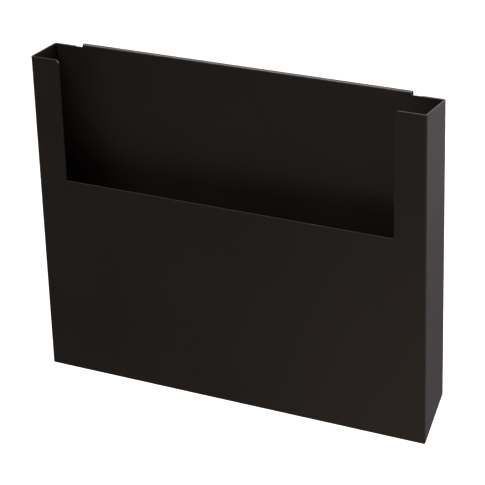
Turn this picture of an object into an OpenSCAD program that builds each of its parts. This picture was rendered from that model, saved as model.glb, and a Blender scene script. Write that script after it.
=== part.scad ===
// Wall magazine rack: a folded sheet-steel pocket that hooks over a wall rail.
// The front faces -Y and the wall is the plane y = 0. The origin lies on the wall,
// midway between the rail's two screw slots, so the rack's top is a little above it.

/* [Pocket] */
// Width over the side walls
body_w = 340; // [280:1:420]
// Height of the front panel
body_h = 272; // [230:1:340]
// Depth from the front face to the rear flanges
body_d = 37; // [30:0.5:50]
// How far the side walls' lower edges rise from front to rear
floor_rise = 28; // [20:0.5:38]

/* [Front opening] */
// Width of the post left standing at each side of the opening
post_w = 26; // [23:0.5:32]
// Depth of the opening below the posts' tops
opening_h = 102.5; // [60:0.5:125]
// Radius on each post's top inner corner
post_r = 4; // [2:0.5:8]

/* [Sheet metal] */
// Thickness of the front shell
shell_t = 1.2; // [1:0.1:1.5]
// Thickness of the back panel
back_t = 1.0; // [0.8:0.1:1.3]
// Thickness of the floor plate
floor_t = 1.0; // [0.8:0.1:1.2]
// Inside radius of the folds
bend_r = 0.6; // [0.5:0.1:1]
// Width of the shell's rear return flanges
flange_w = 20; // [16:0.5:22]
// Height of the floor plate's front flange
front_lip_h = 14; // [11:0.5:18]
// Height of the floor plate's rear flange
rear_lip_h = 16; // [13:0.5:20]

/* [Hook] */
// Distance from each side of the rack to the hook's end
hook_inset = 27; // [24:0.5:60]
// How far the hook's crown stands above the side walls
hook_rise = 2.8; // [2.2:0.1:4]
// Length of the hook's rear leg below the crown's centre
hook_leg = 12; // [9:0.5:13]
// Clearance on each side of the rail's tongue inside the hook
hook_clear = 0.3; // [0.2:0.05:0.5]

/* [Wall rail] */
// Thickness of the rail
rail_t = 1.2; // [1:0.1:1.5]
// Distance from each end of the hook to the rail's end
rail_end_gap = 8; // [4:0.5:20]
// Height of the rail's wall plate above and below its screw slots
rail_plate_h = 13; // [10:0.5:16]
// Height of the sloping step between the wall plate and the tongue
rail_step_h = 6; // [5:0.5:8]
// Height of the upright tongue
rail_tongue_h = 14; // [13.5:0.5:18]
// Distance between the screw slots
slot_pitch = 200; // [140:1:210]
// Width of a screw slot
slot_w = 5; // [4:0.1:6]
// Length of a screw slot, end to end
slot_l = 12; // [9:0.5:16]

/* [Rivets] */
// Shank diameter of the rivets in the rear flanges
side_rivet_d = 3.2; // [2.6:0.1:4]
// Shank diameter of the rivets in the floor plate
floor_rivet_d = 4; // [3.2:0.1:4.8]
// Radial clearance round a rivet's shank
rivet_clear = 0.05; // [0.03:0.01:0.1]
// Height of a rivet's domed head
rivet_head_h = 1; // [0.8:0.1:1.2]
// Distance from a rear flange's free edge to its rivets
side_rivet_edge = 9; // [7:0.5:11]
// Distance from the rack's top to the uppermost side rivets
side_rivet_drop = 40; // [30:1:60]
// Distance from the back panel's lower edge to the lowest side rivets
side_rivet_rise = 22; // [18:1:40]
// Number of rivets in each rear flange
side_rivet_count = 3; // [2:1:5]
// Distance between floor rivets
floor_rivet_pitch = 80; // [60:1:85]
// Number of floor rivets
floor_rivet_count = 4; // [2:1:4]
// Distance from the rear flange's upper edge on the floor plate to its rivets
floor_rivet_edge = 6.4; // [6:0.1:7]
// Depth of the rivets' countersinks in the back panel
countersink_h = 0.5; // [0.3:0.1:0.6]

/* [Bumpers] */
// Diameter of a rubber wall bumper at the back panel
bumper_d = 16; // [12:0.5:20]
// Diameter of a bumper's stem
stem_d = 6; // [5:0.1:8]
// How far a bumper's barb stands out round its stem
barb_w = 0.9; // [0.6:0.1:1.2]
// Thickness of the barb inside the pocket
barb_h = 1.6; // [1.2:0.1:2]
// Rounding round a bumper's wall face
bumper_edge_r = 2; // [1:0.25:3]
// Distance from each side of the rack to its bumper
bumper_inset = 48; // [40:1:70]
// Height of the bumpers above the back panel's lower edge
bumper_up = 32; // [28:1:60]
// Gap between the rack's rear flanges and the wall
wall_gap = 4; // [3.3:0.1:6]

/* [Hidden] */
$fn = 48;

// Steps along the quarter turn of a fold
bend_steps = 6;
// Room left between a sheet's edge and the fold that it lies beside
corner_clear = bend_r + 0.1;
// Gap between the floor plate's rear fold and the back panel's lower edge
panel_gap = 0.5;
// Overlap that makes a cut pass right through
cut = 1;

// The hook straddles the rail's tongue, and hangs this far off its top corners
hang_gap = 0.5;
hook_slot = rail_t + 2 * hook_clear;
crown_in = hook_slot / 2;
crown_out = crown_in + back_t;
tongue_top = rail_plate_h + rail_step_h + rail_tongue_h;
crown_z = tongue_top + hang_gap - sqrt(pow(crown_in, 2) - pow(rail_t / 2, 2));

// Heights of the pocket
top_z = crown_z + crown_out - hook_rise;
bottom_z = top_z - body_h;
sill_z = top_z - opening_h;

// Depths of the pocket, from the wall forwards
flange_y = -wall_gap;
back_y = flange_y - shell_t;
front_y = flange_y - body_d;
front_in_y = front_y + shell_t;

// The slope of the side walls' lower edges starts behind the front panel
slope = atan(floor_rise / (flange_y - front_in_y));

// Widths
inner_w = body_w - 2 * shell_t;
sheet_w = inner_w - 2 * corner_clear;
hook_w = body_w - 2 * hook_inset;
rail_w = hook_w - 2 * rail_end_gap;
rear_lip_w = body_w - 2 * (flange_w + corner_clear);

// Middle plane of the floor plate's sheet, at depth y
function floor_mid(y) =
    bottom_z + (y - front_in_y) * tan(slope) + floor_t / (2 * cos(slope));
rear_lip_y = back_y + floor_t / 2;
rear_fold_z = floor_mid(rear_lip_y);
back_low_z = rear_fold_z + floor_t + bend_r + panel_gap;

// Rivets and bumpers
side_rivet_x = body_w / 2 - flange_w + side_rivet_edge;
side_rivet_low = back_low_z + side_rivet_rise;
side_rivet_high = top_z - side_rivet_drop;
floor_rivet_z = rear_fold_z + rear_lip_h - floor_rivet_edge;
bumper_x = body_w / 2 - bumper_inset;
bumper_z = back_low_z + bumper_up;

coat = "#26231f";
rubber = "#1b1b1b";
zinc = "#b9bdc0";

// Vector helpers for a folded sheet's outline
function unit(v) = v / norm(v);
function left_of(v) = [-v[1], v[0]];
function turned(v, a) = [v[0] * cos(a) - v[1] * sin(a), v[0] * sin(a) + v[1] * cos(a)];
function turn(a, b) = atan2(a[0] * b[1] - a[1] * b[0], a[0] * b[0] + a[1] * b[1]);

// One side (+1 left, -1 right) of a sheet of thickness t folded along path with inside radius r
function fold_side(path, t, r, side) = [
    for (i = [0 : len(path) - 1])
        let (last = len(path) - 1,
             into = unit(path[max(i, 1)] - path[max(i, 1) - 1]),
             out = unit(path[min(i, last - 1) + 1] - path[min(i, last - 1)]),
             angle = turn(into, out),
             mid_r = r + t / 2)
            if (i == 0 || i == last)
                path[i] + side * t / 2 * left_of(into)
            else
                let (way = sign(angle),
                     centre = path[i] - mid_r * tan(abs(angle) / 2) * into
                              + way * mid_r * left_of(into))
                    for (k = [0 : bend_steps])
                        centre + (mid_r - way * side * t / 2)
                                 * turned(-way * left_of(into), angle * k / bend_steps)
];

function reversed(list) = [for (i = [len(list) - 1 : -1 : 0]) list[i]];

// Cross-section of a folded sheet
module fold_section(path, t, r) {
    polygon(concat(fold_side(path, t, r, 1), reversed(fold_side(path, t, r, -1))));
}

// A folded sheet whose section lies across X, with [y, z] points, centred on x = 0
module folded_across(path, t, r, width) {
    rotate([90, 0, 90])
        translate([0, 0, -width / 2])
            linear_extrude(width) fold_section(path, t, r);
}

// A cylinder along +Y from y0 to y1
module rod_y(x, z, r, y0, y1) {
    translate([x, y0, z])
        rotate([-90, 0, 0])
            cylinder(r = r, h = y1 - y0);
}

module mirrored_x() {
    children();
    mirror([1, 0, 0]) children();
}

// Front panel, side walls and rear flanges, folded from one sheet
module front_shell() {
    side_x = (body_w - shell_t) / 2;
    flange_x = body_w / 2 - flange_w;
    front_mid = front_y + shell_t / 2;
    rear_mid = flange_y - shell_t / 2;
    section = [[-flange_x, rear_mid], [-side_x, rear_mid], [-side_x, front_mid],
               [side_x, front_mid], [side_x, rear_mid], [flange_x, rear_mid]];
    color(coat)
        difference() {
            translate([0, 0, bottom_z])
                linear_extrude(body_h) fold_section(section, shell_t, bend_r);
            front_opening();
            lower_wedge();
            mirrored_x()
                for (z = side_rivet_heights())
                    rod_y(side_rivet_x, z, side_rivet_d / 2 + rivet_clear,
                          back_y - cut, flange_y + cut);
        }
}

// Opening in the front panel, with the posts' top inner corners rounded
module front_opening() {
    w = body_w - 2 * post_w;
    y0 = front_y - cut;
    depth = shell_t + 2 * cut;
    translate([-w / 2, y0, sill_z])
        cube([w, depth, opening_h + cut]);
    mirrored_x()
        difference() {
            translate([w / 2 - cut, y0, top_z - post_r])
                cube([post_r + cut, depth, post_r + cut]);
            rod_y(w / 2 + post_r, top_z - post_r, post_r, y0 - cut, y0 + depth + cut);
        }
}

// Everything below the side walls' sloping lower edges, behind the front panel
module lower_wedge() {
    drop = cut * tan(slope);
    rotate([90, 0, 90])
        translate([0, 0, -body_w / 2 - cut])
            linear_extrude(body_w + 2 * cut)
                polygon([[front_in_y, bottom_z], [front_in_y, bottom_z - cut],
                         [flange_y + cut, bottom_z - cut],
                         [flange_y + cut, bottom_z + floor_rise + drop]]);
}

function side_rivet_heights() =
    let (step = (side_rivet_high - side_rivet_low) / (side_rivet_count - 1))
        [for (i = [0 : side_rivet_count - 1]) side_rivet_low + i * step];
function floor_rivet_places() =
    let (middle = (floor_rivet_count - 1) / 2)
        [for (i = [0 : floor_rivet_count - 1]) (i - middle) * floor_rivet_pitch];

// Flat back panel whose middle goes on up and over into the hook
module back_panel() {
    mid_y = back_y - back_t / 2;
    leg_y = back_y + hook_slot + back_t / 2;
    crown_mid_z = crown_z + (hook_slot + back_t) / 2;
    section = [[mid_y, back_low_z], [mid_y, crown_mid_z],
               [leg_y, crown_mid_z], [leg_y, crown_z - hook_leg]];
    color(coat)
        difference() {
            union() {
                folded_across(section, back_t, crown_in, hook_w);
                translate([-sheet_w / 2, back_y - back_t, back_low_z])
                    cube([sheet_w, back_t, top_z - back_low_z]);
            }
            mirrored_x() {
                for (z = side_rivet_heights())
                    rivet_hole(side_rivet_x, z, side_rivet_d);
                rod_y(bumper_x, bumper_z, stem_d / 2 + rivet_clear,
                      back_y - back_t - cut, back_y + cut);
            }
            for (x = floor_rivet_places())
                rivet_hole(x, floor_rivet_z, floor_rivet_d);
        }
}

// Hole for a rivet in the back panel, countersunk on the pocket side
module rivet_hole(x, z, d) {
    rod_y(x, z, d / 2 + rivet_clear, back_y - back_t - cut, back_y + cut);
    translate([x, back_y - back_t, z])
        rotate([-90, 0, 0])
            cylinder(r1 = d / 2 + countersink_h + rivet_clear, r2 = d / 2 + rivet_clear,
                     h = countersink_h);
}

// Sloping floor with a flange up behind the front panel and one up behind the back panel
module floor_plate() {
    lip_y = front_in_y + floor_t / 2;
    section = [[lip_y, floor_mid(lip_y) + front_lip_h], [lip_y, floor_mid(lip_y)],
               [rear_lip_y, rear_fold_z], [rear_lip_y, rear_fold_z + rear_lip_h]];
    notch_y = back_y - back_t - corner_clear;
    color(coat)
        difference() {
            folded_across(section, floor_t, bend_r, sheet_w);
            mirrored_x()
                translate([rear_lip_w / 2, notch_y, bottom_z])
                    cube([flange_w + corner_clear, -notch_y, body_h]);
            for (x = floor_rivet_places())
                rod_y(x, floor_rivet_z, floor_rivet_d / 2 + rivet_clear,
                      back_y - cut, back_y + floor_t + cut);
        }
}

// A flush-set rivet: countersunk in the back panel, domed head on the rear of the flange
module rivet(x, z, d, grip_y) {
    head_r = d;
    head_h = rivet_head_h;
    dome_r = (pow(head_r, 2) + pow(head_h, 2)) / (2 * head_h);
    translate([x, back_y - back_t, z])
        rotate([-90, 0, 0]) {
            cylinder(r1 = d / 2 + countersink_h, r2 = d / 2, h = countersink_h);
            cylinder(r = d / 2, h = grip_y - back_y + back_t + head_h / 2);
        }
    translate([x, grip_y, z])
        rotate([-90, 0, 0])
            intersection() {
                translate([0, 0, head_h - dome_r]) sphere(r = dome_r);
                cylinder(r = head_r, h = head_h + cut);
            }
}

module side_rivets() {
    color(coat)
        mirrored_x()
            for (z = side_rivet_heights())
                rivet(side_rivet_x, z, side_rivet_d, flange_y);
}

module floor_rivets() {
    color(coat)
        for (x = floor_rivet_places())
            rivet(x, floor_rivet_z, floor_rivet_d, back_y + floor_t);
}

// Push-in rubber bumper between the back panel and the wall
module bumper(x) {
    r = bumper_d / 2;
    tall = -back_y;
    stem_r = stem_d / 2;
    tip = -back_t - barb_h;
    wall_edge = [for (a = [0 : 15 : 90])
        [r - bumper_edge_r * (1 - cos(a)), tall - bumper_edge_r * (1 - sin(a))]];
    color(rubber)
        translate([x, back_y, bumper_z])
            rotate([-90, 0, 0])
                rotate_extrude() {
                    polygon(concat([[0, tip], [stem_r, tip], [stem_r + barb_w, tip + barb_h / 2],
                                    [stem_r + barb_w, -back_t], [stem_r, -back_t],
                                    [stem_r, 0], [r, 0]],
                                   wall_edge, [[0, tall]]));
                }
}

module bumper_left() {
    bumper(-bumper_x);
}

module bumper_right() {
    bumper(bumper_x);
}

// Wall rail: a plate on the wall, stepped forward into the tongue that the hook drops over
module wall_rail() {
    plate_y = -rail_t / 2;
    tongue_y = back_y + hook_slot / 2;
    section = [[plate_y, -rail_plate_h], [plate_y, rail_plate_h],
               [tongue_y, rail_plate_h + rail_step_h], [tongue_y, tongue_top]];
    color(zinc)
        difference() {
            folded_across(section, rail_t, bend_r, rail_w);
            mirrored_x() screw_slot(slot_pitch / 2);
        }
}

module screw_slot(x) {
    run = slot_l - slot_w;
    for (end = [-1, 1])
        rod_y(x + end * run / 2, 0, slot_w / 2, -rail_t - cut, cut);
    translate([x - run / 2, -rail_t - cut, -slot_w / 2])
        cube([run, rail_t + 2 * cut, slot_w]);
}

front_shell();
back_panel();
floor_plate();
side_rivets();
floor_rivets();
bumper_left();
bumper_right();
wall_rail();
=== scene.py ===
"""The looks of a wall magazine rack: a folded sheet-steel pocket, black powder coated, that hooks
over a zinc-plated rail. Each sheet is cut as a flat blank and folded, as the real one is.
Lengths are in millimetres until they reach a mesh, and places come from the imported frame."""

from math import atan, atan2, cos, pi, radians, sin, tan

import bmesh
import bpy
from mathutils import Matrix, Vector
from mathutils.geometry import delaunay_2d_cdt


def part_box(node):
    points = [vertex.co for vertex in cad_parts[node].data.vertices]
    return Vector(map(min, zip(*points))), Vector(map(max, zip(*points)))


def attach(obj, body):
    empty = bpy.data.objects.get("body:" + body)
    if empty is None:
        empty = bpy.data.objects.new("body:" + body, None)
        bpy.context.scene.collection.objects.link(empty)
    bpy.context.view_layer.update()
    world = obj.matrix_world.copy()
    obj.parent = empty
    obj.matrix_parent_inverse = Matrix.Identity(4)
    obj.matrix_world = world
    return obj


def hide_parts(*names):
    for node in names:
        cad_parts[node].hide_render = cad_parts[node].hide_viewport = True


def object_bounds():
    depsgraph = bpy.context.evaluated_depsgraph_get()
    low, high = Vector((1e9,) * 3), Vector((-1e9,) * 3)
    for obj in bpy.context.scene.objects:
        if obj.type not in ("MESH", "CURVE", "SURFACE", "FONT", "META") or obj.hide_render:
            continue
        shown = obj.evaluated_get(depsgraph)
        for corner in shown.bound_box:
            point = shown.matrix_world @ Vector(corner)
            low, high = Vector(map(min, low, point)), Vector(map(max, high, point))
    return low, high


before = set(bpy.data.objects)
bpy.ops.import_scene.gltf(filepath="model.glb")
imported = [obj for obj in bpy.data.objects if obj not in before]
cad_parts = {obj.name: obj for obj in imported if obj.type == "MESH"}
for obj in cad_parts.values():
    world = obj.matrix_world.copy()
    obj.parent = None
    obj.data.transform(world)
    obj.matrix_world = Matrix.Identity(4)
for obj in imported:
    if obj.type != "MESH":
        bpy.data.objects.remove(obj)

MM = 0.001
cad_lo, cad_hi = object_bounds()


# ---------------------------------------------------------------- sizes of the blanks, in mm
SHELL_T = 1.2           # thickness of each sheet
PANEL_T = 1.0
FLOOR_T = 1.0
RAIL_T = 1.2
FOLD_R = 0.6            # inside radius of every fold but the hook's
FLANGE_W = 20.0         # rear return flanges of the shell
FLOOR_RISE = 28.0       # how far the side walls' lower edges climb from front to rear
POST_W = 26.0           # from the outside of a side wall to the front's opening
OPENING_H = 102.5       # from the top of the posts down to the opening's sill
POST_R = 4.0            # inner top corner of each post
FRONT_LIP_H = 14.0      # the floor's flanges, up behind the front and up behind the back
REAR_LIP_H = 16.0
HOOK_INSET = 27.0       # from the outside of a side wall to the hook's end
HOOK_LEG = 12.0         # the hook's rear leg, below the centre of its crown
RAIL_STEP_H = 6.0       # height of the sloping step between wall plate and tongue
SLOT_PITCH = 200.0      # between the rail's two screw slots
SLOT_W = 5.0
SLOT_L = 12.0
SIDE_RIVET_D = 3.2      # shanks
FLOOR_RIVET_D = 4.0
COUNTERSINK_H = 0.5     # depth of a rivet's 45 degree countersink
RIVET_GAP = 0.05        # clearance round a rivet or a bumper's stem
RIVET_HEAD_H = 1.0      # height of the domed set head
FLOOR_RIVET_PITCH = 80.0
STEM_D = 6.0            # the bumper's stem, through the panel, and the barb that holds it
BARB_W = 0.9
BARB_H = 1.6

FOLD_STEPS = 8          # straight steps round a fold or a rounded corner
HOLE_STEPS = 32         # steps round a hole
SLOT_STEPS = 12         # steps round each end of a slot
ROUND_STEPS = 48        # steps round a turned piece
COATED_EDGE = 0.28      # powder flows round a cut edge and leaves it this round
SHEARED_EDGE = 0.14     # an edge under thin zinc plate stays crisper
MOULDED_EDGE = 0.08     # a moulded edge is rounded by its tool
SAME = 1e-6             # two places nearer than this are one


def box_mm(node):
    """The lowest and highest corners of a CAD node."""
    lo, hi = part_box(node)
    return lo / MM, hi / MM


shell_lo, shell_hi = box_mm("front_shell")
panel_lo, panel_hi = box_mm("back_panel")
floor_lo, floor_hi = box_mm("floor_plate")
rail_lo, rail_hi = box_mm("wall_rail")


# ---------------------------------------------------------------- lines, folds and blanks
def rounded(corners, closed=False):
    """Points of a line through corners, each (x, y) or (x, y, radius), with round corners."""
    points = []
    count = len(corners)
    for i, corner in enumerate(corners):
        here = Vector(corner[:2])
        radius = corner[2] if len(corner) > 2 else 0
        if radius == 0 or (not closed and i in (0, count - 1)):
            points.append(here)
            continue
        into = (here - Vector(corners[i - 1][:2])).normalized()
        out = (Vector(corners[(i + 1) % count][:2]) - here).normalized()
        angle = atan2(into.x * out.y - into.y * out.x, into.dot(out))
        inward = Vector((-into.y, into.x)) * (radius if angle > 0 else -radius)
        centre = here - into * radius * tan(abs(angle) / 2) + inward
        for k in range(FOLD_STEPS + 1):
            points.append(centre - inward @ Matrix.Rotation(-angle * k / FOLD_STEPS, 2))
    apart = [p for p, before in zip(points[1:], points) if (p - before).length > SAME]
    return points[:1] + apart


def distances(path):
    """How far along the path each of its points lies."""
    run = [0.0]
    for before, here in zip(path, path[1:]):
        run.append(run[-1] + (here - before).length)
    return run


def along(path, distance):
    """The point that far along the path."""
    for start, before, here in zip(distances(path), path, path[1:]):
        length = (here - before).length
        if distance <= start + length + SAME:
            return before.lerp(here, (distance - start) / length)
    return path[-1]


def reach(path, depth):
    """How far along the path it first passes that depth, its points' first coordinate."""
    for start, before, here in zip(distances(path), path, path[1:]):
        step = here.x - before.x
        if abs(step) > SAME and 0 <= (depth - before.x) / step <= 1:
            return start + (depth - before.x) / step * (here - before).length
    raise ValueError("the path never gets there")


def ring(x, y, radius, steps=HOLE_STEPS):
    return [(x + radius * cos(2 * pi * k / steps), y + radius * sin(2 * pi * k / steps))
            for k in range(steps)]


def slot_outline(x, y, width, length):
    """A slot with round ends, long side along the second axis."""
    run = (length - width) / 2
    ends = []
    for side in (1, -1):
        for k in range(SLOT_STEPS + 1):
            turn = pi * k / SLOT_STEPS + (0 if side > 0 else pi)
            ends.append((x + width / 2 * cos(turn), y + side * run + width / 2 * sin(turn)))
    return ends


def show(piece, slot, *nodes, body="rack"):
    """Puts a finished piece on its body, in place of its CAD nodes."""
    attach(piece, body)
    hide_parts(*nodes)


def object_from(name, bm, finish):
    """A smooth-shaded object made from that mesh, in one finish."""
    mesh = bpy.data.meshes.new(name)
    bm.to_mesh(mesh)
    bm.free()
    for face in mesh.polygons:
        face.use_smooth = True
    mesh.materials.append(finish)
    made = bpy.data.objects.new(name, mesh)
    bpy.context.scene.collection.objects.link(made)
    return made


def folded_sheet(name, outline, holes, path, place, thickness, edge, finish):
    """A blank, drawn anticlockwise as (distance along the path, place across it), and folded.
    place gives the point in space for a point of the path and a place across it."""
    points = [Vector(p) for p in outline]
    loops = [list(range(len(points)))]
    for hole in holes:
        loops.append(list(range(len(points), len(points) + len(hole))))
        points += [Vector(p) for p in hole]
    past_edge = 1       # each fold line runs this far past the blank
    low = min(p.y for p in points) - past_edge
    high = max(p.y for p in points) + past_edge
    folds = []
    for distance in distances(path)[1:-1]:
        folds.append((len(points), len(points) + 1))
        points += [Vector((distance, low)), Vector((distance, high))]
    whole_faces, merge_within = 4, 1e-5
    flat, _, faces, _, _, drawn = delaunay_2d_cdt(
        points, folds, loops, whole_faces, merge_within)
    bm = bmesh.new()
    corners = {}
    for face, loops_round_it in zip(faces, drawn):
        if loops_round_it != [0]:       # it is in a hole, or outside the blank
            continue
        for i in face:
            if i not in corners:
                corners[i] = bm.verts.new(place(along(path, flat[i].x), flat[i].y) * MM)
        bm.faces.new([corners[i] for i in face])
    made = object_from(name, bm, finish)
    solid = made.modifiers.new("sheet_thickness", "SOLIDIFY")
    solid.thickness = thickness * MM
    solid.offset = 0
    solid.use_even_offset = True
    round_edges(made, edge)
    return made


def round_edges(piece, edge, over=40):
    """Rounds every edge that turns more than that many degrees, and keeps the faces flat."""
    bevel = piece.modifiers.new("rounded_edges", "BEVEL")
    bevel.width = edge * MM
    bevel.segments = 3
    bevel.limit_method = "ANGLE"
    bevel.angle_limit = radians(over)
    bevel.miter_outer = "MITER_ARC"
    flat = piece.modifiers.new("flat_faces", "WEIGHTED_NORMAL")
    flat.keep_sharp = True


def turned(name, profile, x, y, z, finish):
    """A piece turned about an axis along +Y, from (radius, height) points."""
    bm = bmesh.new()
    rings = []
    for radius, height in profile:
        if radius < SAME:
            rings.append([bm.verts.new(Vector((x, y + height, z)) * MM)])
            continue
        rings.append([bm.verts.new(Vector((x + across, y + height, z + up)) * MM)
                      for across, up in ring(0, 0, radius, ROUND_STEPS)])
    for lower, upper in zip(rings, rings[1:]):
        for k in range(ROUND_STEPS):
            n = (k + 1) % ROUND_STEPS
            corners = [lower[k % len(lower)], lower[n % len(lower)],
                       upper[n % len(upper)], upper[k % len(upper)]]
            bm.faces.new(list(dict.fromkeys(corners)))
    bmesh.ops.recalc_face_normals(bm, faces=bm.faces)
    return object_from(name, bm, finish)


# ---------------------------------------------------------------- finishes
def linear(colour):
    """Linear RGBA of an sRGB hex colour."""
    channels = [int(colour[i:i + 2], 16) / 255 for i in (1, 3, 5)]
    return [c / 12.92 if c <= 0.04045 else ((c + 0.055) / 1.055) ** 2.4 for c in channels] + [1]


MIX_FACTOR, MIX_A, MIX_B, MIX_RESULT = 0, 6, 7, 2      # sockets of a Mix node set to colours


def add(tree, kind, inputs=None, **settings):
    """Adds a node with its settings, and its inputs' values or links."""
    made = tree.nodes.new(kind)
    for name, value in settings.items():
        setattr(made, name, value)
    for socket, value in (inputs or {}).items():
        if isinstance(value, bpy.types.NodeSocket):
            tree.links.new(value, made.inputs[socket])
        else:
            made.inputs[socket].default_value = value
    return made


def new_finish(name):
    finish = bpy.data.materials.new(name)
    finish.use_nodes = True
    finish.node_tree.nodes.clear()
    return finish, finish.node_tree


def per_mm(size):
    """The texture scale, per metre, whose features are that many millimetres across."""
    return 1 / (size * MM)


def satin_black_powder_coat(name="satin_black_polyester_powder_coat_on_steel", peel=0.09):
    """Polyester powder sprayed and baked on steel: a warm near-black satin film.
    The baked film keeps a faint orange peel, and its gloss drifts a little across a panel.
    peel is the full swing of the peel's height in mm, of which the noise uses about a third."""
    finish, tree = new_finish(name)
    place = add(tree, "ShaderNodeTexCoord").outputs["Object"]
    drift = add(tree, "ShaderNodeTexNoise",
                {"Vector": place, "Scale": per_mm(90), "Detail": 3.0, "Roughness": 0.5})
    tone = add(tree, "ShaderNodeMix",
               {MIX_FACTOR: drift.outputs["Fac"],
                MIX_A: linear("#1a1511"), MIX_B: linear("#201914")},
               data_type="RGBA")
    gloss = add(tree, "ShaderNodeMapRange",
                {"Value": drift.outputs["Fac"], "From Min": 0.3, "From Max": 0.7,
                 "To Min": 0.35, "To Max": 0.42})
    # The real peel is about 1.5 mm across and 0.02 mm deep; it is drawn at 2.4 mm, and a
    # little deeper, so that it shows.
    orange_peel = add(tree, "ShaderNodeTexNoise",
                      {"Vector": place, "Scale": per_mm(2.4), "Detail": 2.0, "Roughness": 0.45})
    # The powder's own grain is under 0.1 mm; it is drawn at 0.5 mm.
    grain = add(tree, "ShaderNodeTexNoise",
                {"Vector": place, "Scale": per_mm(0.5), "Detail": 1.0})
    fine = add(tree, "ShaderNodeBump",
               {"Height": grain.outputs["Fac"], "Strength": 1.0, "Distance": 0.01 * MM})
    bump = add(tree, "ShaderNodeBump",
               {"Height": orange_peel.outputs["Fac"], "Strength": 1.0, "Distance": peel * MM,
                "Normal": fine.outputs["Normal"]})
    shader = add(tree, "ShaderNodeBsdfPrincipled",
                 {"Base Color": tone.outputs[MIX_RESULT], "Roughness": gloss.outputs["Result"],
                  "IOR": 1.5, "Normal": bump.outputs["Normal"]})
    add(tree, "ShaderNodeOutputMaterial", {"Surface": shader.outputs["BSDF"]})
    return finish


def moulded_black_rubber():
    """Compression-moulded rubber: matt, a shade cooler than the coat, with a fine spark texture
    and a little bloom on the surface."""
    finish, tree = new_finish("moulded_black_rubber")
    place = add(tree, "ShaderNodeTexCoord").outputs["Object"]
    bloom = add(tree, "ShaderNodeTexNoise",
                {"Vector": place, "Scale": per_mm(4), "Detail": 4.0, "Roughness": 0.6})
    tone = add(tree, "ShaderNodeMix",
               {MIX_FACTOR: bloom.outputs["Fac"],
                MIX_A: linear("#161616"), MIX_B: linear("#252526")},
               data_type="RGBA")
    # The mould's spark texture is about 0.1 mm; it is drawn at 0.4 mm so that it shows.
    spark = add(tree, "ShaderNodeTexNoise",
                {"Vector": place, "Scale": per_mm(0.4), "Detail": 2.0})
    bump = add(tree, "ShaderNodeBump",
               {"Height": spark.outputs["Fac"], "Strength": 1.0, "Distance": 0.02 * MM})
    shader = add(tree, "ShaderNodeBsdfPrincipled",
                 {"Base Color": tone.outputs[MIX_RESULT], "Roughness": 0.78, "IOR": 1.52,
                  "Normal": bump.outputs["Normal"]})
    add(tree, "ShaderNodeOutputMaterial", {"Surface": shader.outputs["BSDF"]})
    return finish


def bright_zinc_plate():
    """Cold-rolled steel, electroplated with zinc and passivated clear: a soft blue-white metal.
    The rolling direction shows through the plate as faint streaks along the rail."""
    finish, tree = new_finish("bright_zinc_plate_on_rolled_steel")
    place = add(tree, "ShaderNodeTexCoord").outputs["Object"]
    # Rolling streaks are about 0.4 mm wide; they are drawn 0.6 mm wide and 60 mm long.
    stretched = add(tree, "ShaderNodeMapping",
                    {"Vector": place, "Scale": (per_mm(60), per_mm(0.6), per_mm(0.6))})
    streaks = add(tree, "ShaderNodeTexNoise",
                  {"Vector": stretched.outputs["Vector"], "Scale": 1.0, "Detail": 3.0})
    clouds = add(tree, "ShaderNodeTexNoise",
                 {"Vector": place, "Scale": per_mm(18), "Detail": 3.0})
    tone = add(tree, "ShaderNodeMix",
               {MIX_FACTOR: clouds.outputs["Fac"],
                MIX_A: linear("#b4b9bc"), MIX_B: linear("#d3d4d0")},
               data_type="RGBA")
    gloss = add(tree, "ShaderNodeMapRange",
                {"Value": streaks.outputs["Fac"], "From Min": 0.3, "From Max": 0.7,
                 "To Min": 0.30, "To Max": 0.42})
    bump = add(tree, "ShaderNodeBump",
               {"Height": streaks.outputs["Fac"], "Strength": 1.0, "Distance": 0.004 * MM})
    shader = add(tree, "ShaderNodeBsdfPrincipled",
                 {"Base Color": tone.outputs[MIX_RESULT], "Metallic": 1.0,
                  "Roughness": gloss.outputs["Result"], "Normal": bump.outputs["Normal"]})
    add(tree, "ShaderNodeOutputMaterial", {"Surface": shader.outputs["BSDF"]})
    return finish


coat = satin_black_powder_coat()
rivet_coat = satin_black_powder_coat("black_powder_coat_on_rivets", peel=0.05)
rubber = moulded_black_rubber()
zinc = bright_zinc_plate()


# ---------------------------------------------------------------- the shell
front_in_y = shell_lo.y + SHELL_T
slope = atan(FLOOR_RISE / (shell_hi.y - front_in_y))


def side_rivet_places():
    """(x, z) of the rivets that join the shell's rear flanges to the back panel."""
    lo, hi = box_mm("side_rivets")
    head_r = SIDE_RIVET_D       # the set head is twice the shank's diameter
    x = hi.x - head_r
    low, high = lo.z + head_r, hi.z - head_r
    return [(side * x, z) for side in (-1, 1) for z in (low, (low + high) / 2, high)]


def floor_rivet_places():
    """(x, z) of the rivets that join the floor plate's rear flange to the back panel."""
    lo, hi = box_mm("floor_rivets")
    z = (lo.z + hi.z) / 2
    return [(i * FLOOR_RIVET_PITCH, z) for i in (-1.5, -0.5, 0.5, 1.5)]


def bumper_places():
    """(x, z) of each wall bumper, left one first."""
    middles = []
    for node in ("bumper_left", "bumper_right"):
        lo, hi = box_mm(node)
        middles.append(((lo.x + hi.x) / 2, (lo.z + hi.z) / 2))
    return middles


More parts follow.
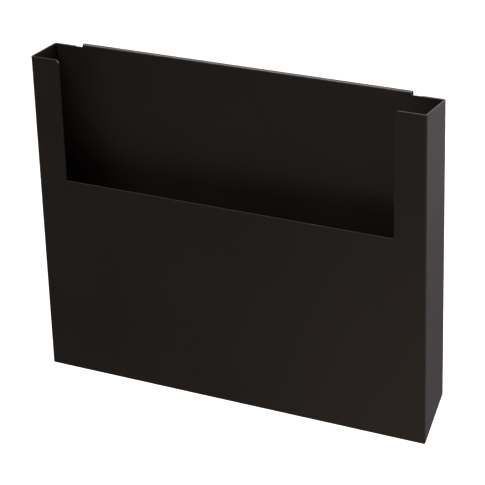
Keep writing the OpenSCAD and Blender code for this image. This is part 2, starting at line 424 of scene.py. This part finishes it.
def folded_shell():
    """Front panel, side walls and rear flanges, folded from one blank."""
    side = shell_hi.x - SHELL_T / 2
    flange = shell_hi.x - FLANGE_W
    front = shell_lo.y + SHELL_T / 2
    rear = shell_hi.y - SHELL_T / 2
    middle_r = FOLD_R + SHELL_T / 2
    path = rounded([(-flange, rear), (-side, rear, middle_r), (-side, front, middle_r),
                    (side, front, middle_r), (side, rear, middle_r), (flange, rear)])
    run = distances(path)
    end, middle = run[-1], run[-1] / 2
    opening = shell_hi.x - POST_W
    top, sill = shell_hi.z, shell_hi.z - OPENING_H

    def lower_edge(y):
        return shell_lo.z + max(0, y - front_in_y) * tan(slope)

    bottom = [(s, lower_edge(p.y)) for s, p in zip(run, path)]
    corner_r, sill_r = 1.2, 0.4
    outline = rounded(
        [(*bottom[0], corner_r), *bottom[1:-1], (*bottom[-1], corner_r), (end, top, corner_r),
         (middle + opening, top, POST_R), (middle + opening, sill, sill_r),
         (middle - opening, sill, sill_r), (middle - opening, top, POST_R), (0, top, corner_r)],
        closed=True)
    hole_r = SIDE_RIVET_D / 2 + RIVET_GAP
    holes = []
    for x, z in side_rivet_places():
        from_edge = abs(x) - flange
        holes.append(ring(from_edge if x < 0 else end - from_edge, z, hole_r))
    shell = folded_sheet("folded_shell", outline, holes, path,
                         lambda p, z: Vector((p.x, p.y, z)), SHELL_T, COATED_EDGE, coat)
    show(shell, "powder_coat", "front_shell")


folded_shell()


# ---------------------------------------------------------------- the back panel and its hook
def hook_panel():
    """Back panel whose middle goes on up and folds right over into the hook."""
    hook_slot = panel_hi.y - panel_lo.y - 2 * PANEL_T
    near = panel_lo.y + PANEL_T / 2
    leg = panel_hi.y - PANEL_T / 2
    crown = panel_hi.z - PANEL_T / 2
    crown_centre = panel_hi.z - PANEL_T - hook_slot / 2
    middle_r = (hook_slot + PANEL_T) / 2
    path = rounded([(near, panel_lo.z), (near, crown, middle_r), (leg, crown, middle_r),
                    (leg, crown_centre - HOOK_LEG)])
    end = distances(path)[-1]
    wide = panel_hi.x
    hook = shell_hi.x - HOOK_INSET
    shoulder = shell_hi.z - panel_lo.z
    corner_r, root_r, leg_r = 0.8, 0.4, 2.0
    outline = rounded(
        [(0, -wide, corner_r), (shoulder, -wide, corner_r), (shoulder, -hook, root_r),
         (end, -hook, leg_r), (end, hook, leg_r), (shoulder, hook, root_r),
         (shoulder, wide, corner_r), (0, wide, corner_r)],
        closed=True)
    holes = [ring(z - panel_lo.z, x, SIDE_RIVET_D / 2 + COUNTERSINK_H + RIVET_GAP)
             for x, z in side_rivet_places()]
    holes += [ring(z - panel_lo.z, x, FLOOR_RIVET_D / 2 + COUNTERSINK_H + RIVET_GAP)
              for x, z in floor_rivet_places()]
    holes += [ring(z - panel_lo.z, x, STEM_D / 2 + RIVET_GAP) for x, z in bumper_places()]
    panel = folded_sheet("hook_panel", outline, holes, path,
                         lambda p, x: Vector((x, p.x, p.y)), PANEL_T, COATED_EDGE, coat)
    show(panel, "powder_coat", "back_panel")


hook_panel()


# ---------------------------------------------------------------- the floor plate
def sloping_floor():
    """Floor that slopes down to the front, with a flange at each end."""
    front = floor_lo.y + FLOOR_T / 2
    rear = floor_hi.y - FLOOR_T / 2

    def middle_z(y):
        return shell_lo.z + (y - front_in_y) * tan(slope) + FLOOR_T / 2 / cos(slope)

    middle_r = FOLD_R + FLOOR_T / 2
    path = rounded([(front, middle_z(front) + FRONT_LIP_H), (front, middle_z(front), middle_r),
                    (rear, middle_z(rear), middle_r), (rear, middle_z(rear) + REAR_LIP_H)])
    end = distances(path)[-1]
    wide = floor_hi.x
    side_gap = shell_hi.x - SHELL_T - floor_hi.x
    lip = shell_hi.x - FLANGE_W - side_gap
    notch = reach(path, panel_lo.y - side_gap)
    corner_r, root_r, lip_r = 0.8, 0.8, 2.0
    outline = rounded(
        [(0, -wide, lip_r), (notch, -wide, corner_r), (notch, -lip, root_r),
         (end, -lip, lip_r), (end, lip, lip_r), (notch, lip, root_r), (notch, wide, corner_r),
         (0, wide, lip_r)],
        closed=True)
    hole_r = FLOOR_RIVET_D / 2 + RIVET_GAP
    holes = [ring(end - (path[-1].y - z), x, hole_r) for x, z in floor_rivet_places()]
    plate = folded_sheet("sloping_floor", outline, holes, path,
                         lambda p, x: Vector((x, p.x, p.y)), FLOOR_T, COATED_EDGE, coat)
    show(plate, "powder_coat", "floor_plate")


sloping_floor()


# ---------------------------------------------------------------- rivets
def rivet_profile(diameter, grip):
    """(radius, height) points: flush countersunk face, shank, then the domed set head."""
    shank = diameter / 2
    face = shank + COUNTERSINK_H
    head = diameter             # radius of the set head
    sunk, swell = 0.03, 0.015   # the face lies just under the panel's, and swells near its rim
    rim_r = 0.12
    foot_w, foot_h = 0.15, 0.06     # the head is rounded in where it meets the flange
    dome = (head ** 2 + RIVET_HEAD_H ** 2) / (2 * RIVET_HEAD_H)
    half_angle = atan2(head, dome - RIVET_HEAD_H)
    profile = [(0, sunk), (face * 0.5, sunk), (face * 0.86, sunk - swell), (face - rim_r, sunk),
               (face, sunk + rim_r), (shank, COUNTERSINK_H), (shank, grip)]
    profile += [(head - foot_w, grip), (head, grip + foot_h)]
    dome_steps = 10
    for k in range(1, dome_steps + 1):
        turn = half_angle * (1 - k / dome_steps)
        profile.append((dome * sin(turn), grip + RIVET_HEAD_H - dome * (1 - cos(turn))))
    return profile


def rivets():
    """Each goes from the panel's front through the flange behind it, and is set at the rear."""
    for kind, places, diameter, flange_rear in (
            ("side_rivet", side_rivet_places(), SIDE_RIVET_D, shell_hi.y),
            ("floor_rivet", floor_rivet_places(), FLOOR_RIVET_D, floor_hi.y)):
        profile = rivet_profile(diameter, flange_rear - panel_lo.y)
        for i, (x, z) in enumerate(places, 1):
            rivet = turned(f"{kind}_{i}", profile, x, panel_lo.y, z, rivet_coat)
            show(rivet, "rivet_coat", f"{kind}s")


rivets()


# ---------------------------------------------------------------- bumpers
def bumper_profile(radius, tall):
    """(radius, height) points from the barb inside the pocket to the face on the wall."""
    stem, barb = STEM_D / 2, STEM_D / 2 + BARB_W
    tip = -PANEL_T - BARB_H
    tip_w, tip_h, barb_r = 0.4, 0.15, 0.2   # the tip is rounded off, and so is the barb
    edge_r, lip_r = 2.0, 0.4                # at the face on the wall, and at the panel
    profile = [(0, tip), (stem - tip_w, tip), (stem, tip + tip_h),
               (barb, tip + BARB_H / 2), (barb, -PANEL_T - barb_r),
               (barb - barb_r, -PANEL_T), (stem, -PANEL_T), (stem, 0),
               (radius - lip_r, 0)]
    profile += [(radius - lip_r * (1 - sin(a)), lip_r * (1 - cos(a)))
                for a in (radians(d) for d in (30, 60, 90))]
    profile += [(radius - edge_r * (1 - cos(a)), tall - edge_r * (1 - sin(a)))
                for a in (radians(d) for d in range(0, 91, 10))]
    # The face has a grip groove round it, and in its middle a dimple from the mould's gate.
    groove_in, groove_r, groove_d = 1.6, 0.35, 0.35
    groove = radius - edge_r - groove_in
    for across, deep in ((1, 0), (0.6, 0.8), (0, 1), (-0.6, 0.8), (-1, 0)):
        profile.append((groove + groove_r * across, tall - groove_d * deep))
    gate_r, gate_floor_r, gate_wall, gate_d = 1.0, 0.8, 0.25, 0.3
    profile += [(gate_r, tall), (gate_floor_r, tall - gate_wall), (0, tall - gate_d)]
    return profile


def wall_bumpers():
    """Each is pushed in from the rear until its barb springs out in front of the panel."""
    for side, (x, z) in zip(("left", "right"), bumper_places()):
        node = f"bumper_{side}"
        lo, hi = box_mm(node)
        back = lo.y + PANEL_T + BARB_H
        bumper = turned(f"wall_{node}", bumper_profile((hi.x - lo.x) / 2, hi.y - back),
                        x, back, z, rubber)
        round_edges(bumper, MOULDED_EDGE, over=50)
        show(bumper, "bumper_rubber", node)


wall_bumpers()


# ---------------------------------------------------------------- the wall rail
def hanging_rail():
    """Wall plate, sloping step and upright tongue, folded from one strip."""
    plate = rail_hi.y - RAIL_T / 2
    tongue = rail_lo.y + RAIL_T / 2
    half_plate = -rail_lo.z     # the slots are at height 0, halfway up the plate
    middle_r = FOLD_R + RAIL_T / 2
    path = rounded([(plate, -half_plate), (plate, half_plate, middle_r),
                    (tongue, half_plate + RAIL_STEP_H, middle_r), (tongue, rail_hi.z)])
    end = distances(path)[-1]
    wide, corner_r = rail_hi.x, 2.5
    outline = rounded([(0, -wide, corner_r), (end, -wide, corner_r), (end, wide, corner_r),
                       (0, wide, corner_r)], closed=True)
    holes = [slot_outline(half_plate, side * SLOT_PITCH / 2, SLOT_W, SLOT_L)
             for side in (-1, 1)]
    rail = folded_sheet("hanging_rail", outline, holes, path,
                        lambda p, x: Vector((x, p.x, p.y)), RAIL_T, SHEARED_EDGE, zinc)
    show(rail, "zinc_plate", "wall_rail", body="rail")


hanging_rail()


# ---------------------------------------------------------------- floor, light and camera
middle = (cad_lo + cad_hi) / 2


def aimed(location, target):
    turn = (target - location).to_track_quat("-Z", "Y")
    return Matrix.LocRotScale(location, turn, None)


def pale_floor():
    """A wide matt floor well below the rack. It lights the rack but doesn't show in its gloss,
    and it is clear from underneath, so that the rack can be seen from below."""
    finish, tree = new_finish("pale_studio_floor")
    shader = add(tree, "ShaderNodeBsdfPrincipled",
                 {"Base Color": linear("#f4f4f3"), "Roughness": 0.9})
    under = add(tree, "ShaderNodeBsdfTransparent")
    from_below = add(tree, "ShaderNodeNewGeometry").outputs["Backfacing"]
    sides = add(tree, "ShaderNodeMixShader",
                {0: from_below, 1: shader.outputs["BSDF"], 2: under.outputs["BSDF"]})
    add(tree, "ShaderNodeOutputMaterial", {"Surface": sides.outputs["Shader"]})
    half_width, below_rack = 12.0, 0.32
    bm = bmesh.new()
    z = cad_lo.z - below_rack
    bm.faces.new([bm.verts.new((x * half_width, y * half_width, z))
                  for x, y in ((-1, -1), (1, -1), (1, 1), (-1, 1))])
    floor = object_from("studio_floor", bm, finish)
    floor.visible_glossy = False


def lamp(name, kind, direction, distance, energy, colour="#ffffff", **settings):
    """A light that shines at the rack from that direction."""
    light = bpy.data.lights.new(name, kind)
    light.energy = energy
    light.color = linear(colour)[:3]
    for setting, value in settings.items():
        setattr(light, setting, value)
    shining = bpy.data.objects.new(name, light)
    bpy.context.scene.collection.objects.link(shining)
    shining.matrix_world = aimed(middle + Vector(direction).normalized() * distance, middle)


def studio_room():
    """White walls behind and to the right, falling off to a dim room on the front left."""
    world = bpy.data.worlds.new("studio_room")
    bpy.context.scene.world = world
    world.use_nodes = True
    tree = world.node_tree
    tree.nodes.clear()
    bright_side = Vector((0.80, 0.55, 0.20)).normalized()
    dimmest, brightest = 0.03, 0.475
    ray = add(tree, "ShaderNodeTexCoord").outputs["Generated"]
    facing = add(tree, "ShaderNodeVectorMath", {0: ray, 1: bright_side}, operation="DOT_PRODUCT")
    level = add(tree, "ShaderNodeMapRange",
                {"Value": facing.outputs["Value"], "From Min": -0.88, "From Max": 0.9,
                 "To Min": dimmest, "To Max": brightest})
    room = add(tree, "ShaderNodeBackground",
               {"Color": linear("#fff6fb"), "Strength": level.outputs["Result"]})
    backdrop = add(tree, "ShaderNodeBackground", {"Color": linear("#ffffff"), "Strength": 1.0})
    seen = add(tree, "ShaderNodeLightPath").outputs["Is Camera Ray"]
    both = add(tree, "ShaderNodeMixShader",
               {0: seen, 1: room.outputs["Background"], 2: backdrop.outputs["Background"]})
    add(tree, "ShaderNodeOutputWorld", {"Surface": both.outputs["Shader"]})


def studio():
    """A soft light from above the front left, which catches the hook's crown; a dim warm card low
    in front; a small softbox that grades the right side wall; and a broad one for the back."""
    studio_room()
    lamp("ceiling_light", "SUN", (-0.30, -0.26, 0.92), distance=3.0, energy=3.5,
         angle=radians(34))
    lamp("front_fill_card", "AREA", (0.1, -0.8, -0.6), distance=0.9, energy=0.5,
         colour="#ffe4c4", shape="RECTANGLE", size=0.8, size_y=0.6)
    lamp("rear_right_softbox", "AREA", (0.62, 0.78, 0.0), distance=0.8, energy=0.2,
         colour="#fff4fb", shape="RECTANGLE", size=0.5, size_y=0.5)
    lamp("rear_key_softbox", "AREA", (0.25, 0.8, 0.45), distance=1.4, energy=14,
         shape="RECTANGLE", size=1.4, size_y=1.2)
    bpy.context.scene.view_settings.view_transform = "Standard"


def view_camera():
    """A long lens from the front right and above, rolled a little clockwise."""
    heading, drop, tilt = radians(28.33), radians(24.01), radians(1.87)
    distance, aim_off = 1658.7, Vector((4.7, 1.3, -2.4))
    aim = (shell_lo + shell_hi) / 2 + aim_off
    ahead = Vector((-sin(heading) * cos(drop), cos(heading) * cos(drop), -sin(drop)))
    level = Vector((cos(heading), sin(heading), 0))
    down = ahead.cross(level)
    right = level * cos(tilt) + down * sin(tilt)
    below = down * cos(tilt) - level * sin(tilt)
    camera = bpy.data.objects.new("view_camera", bpy.data.cameras.new("view_camera"))
    bpy.context.scene.collection.objects.link(camera)
    turn = Matrix((right, -below, -ahead)).transposed().to_4x4()
    camera.matrix_world = Matrix.Translation((aim - ahead * distance) * MM) @ turn
    camera.data.lens = 155.6
    bpy.context.scene.camera = camera


pale_floor()
studio()
view_camera()
